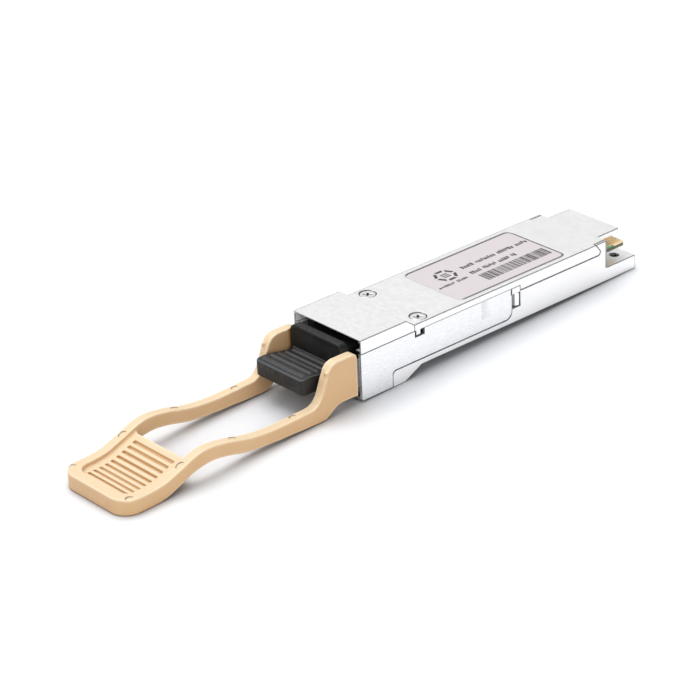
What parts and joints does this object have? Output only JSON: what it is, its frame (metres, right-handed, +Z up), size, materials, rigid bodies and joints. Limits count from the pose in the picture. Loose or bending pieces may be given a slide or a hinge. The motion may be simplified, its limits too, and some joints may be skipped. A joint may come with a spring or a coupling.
{
  "type": "optical transceiver module",
  "caption": "Pluggable multimode optical transceiver: plated shell and cover, card edge, MPO port with dust plug, and a beige pull tab that works the latch sliders.",
  "frame": {"origin": "bottom centre of the whole object's box, with the module's own axes level", "axes": "+Z up through the labelled cover, +Y from the optical port towards the card edge, +X across the module to the right seen from the port"},
  "size_m": [0.0184, 0.1274, 0.0145],
  "materials": {
    "plated_zinc": "satin nickel plating over a fine cast surface",
    "label_paper": "matt pale pink polyester label, no lettering",
    "screw_steel": "bright passivated steel",
    "slider_steel": "smooth plated sheet",
    "spring_steel": "drawn spring wire",
    "beige_plastic": "fine satin moulded beige plastic",
    "black_rubber": "soft satin black elastomer",
    "black_plastic": "satin glass-filled plastic",
    "ferrule_plastic": "polished filled thermoset",
    "keeper_plastic": "natural moulded plastic",
    "pin_steel": "polished",
    "clip_steel": "rolled strip",
    "ribbon_coating": "clear aqua coating over the fibres",
    "lens_plastic": "clear amber moulded optical plastic",
    "gasket_rubber": "silver-filled conductive elastomer",
    "board_laminate": "green solder mask on fibreglass laminate",
    "chip_resin": "matt black moulding compound",
    "die_silicon": "polished bare die",
    "inductor_ferrite": "sintered ferrite",
    "gap_pad": "soft pale blue filled silicone"
  },
  "bodies": {
    "module": {"bottom_shell": "plated_zinc", "top_cover": "plated_zinc", "label": "label_paper", "cover_screw_left": "screw_steel", "cover_screw_right": "screw_steel", "cover_gasket_left": "gasket_rubber", "cover_gasket_right": "gasket_rubber", "mpo_receptacle": "black_plastic", "latch_hooks": "black_plastic", "receptacle_gasket": "gasket_rubber", "mt_ferrule": "ferrule_plastic", "guide_pin_left": "pin_steel", "guide_pin_right": "pin_steel", "pin_keeper": "keeper_plastic", "ferrule_boot": "black_rubber", "ferrule_clip": "clip_steel", "fiber_ribbon": "ribbon_coating", "lens_block": "lens_plastic", "main_board": "board_laminate", "vcsel_array": "die_silicon", "photodiode_array": "die_silicon", "laser_driver_chip": "chip_resin", "receiver_amplifier_chip": "chip_resin", "transmit_retimer_chip": "chip_resin", "receive_retimer_chip": "chip_resin", "microcontroller": "chip_resin", "lower_thermal_pad": "gap_pad", "upper_thermal_pad": "gap_pad", "power_inductor_left": "inductor_ferrite", "power_inductor_middle": "inductor_ferrite", "power_inductor_right": "inductor_ferrite", "return_spring_left": "spring_steel", "return_spring_right": "spring_steel"},
    "pull_tab": {"pull_tab": "beige_plastic", "slider_left": "slider_steel", "slider_right": "slider_steel"},
    "dust_plug": {"dust_plug": "black_rubber"}
  },
  "joints": [
    {"name": "delatch_slide", "type": "slide", "parent": "module", "child": "pull_tab", "axis": [0, -1, 0], "range_m": [0, 0.0011], "stiffness_N_per_m": 1500, "springref_m": -0.002, "deforming": ["return_spring_left", "return_spring_right"]},
    {"name": "dust_plug_slide", "type": "slide", "parent": "module", "child": "dust_plug", "axis": [0, -1, 0], "range_m": [0, 0.016]}
  ]
}
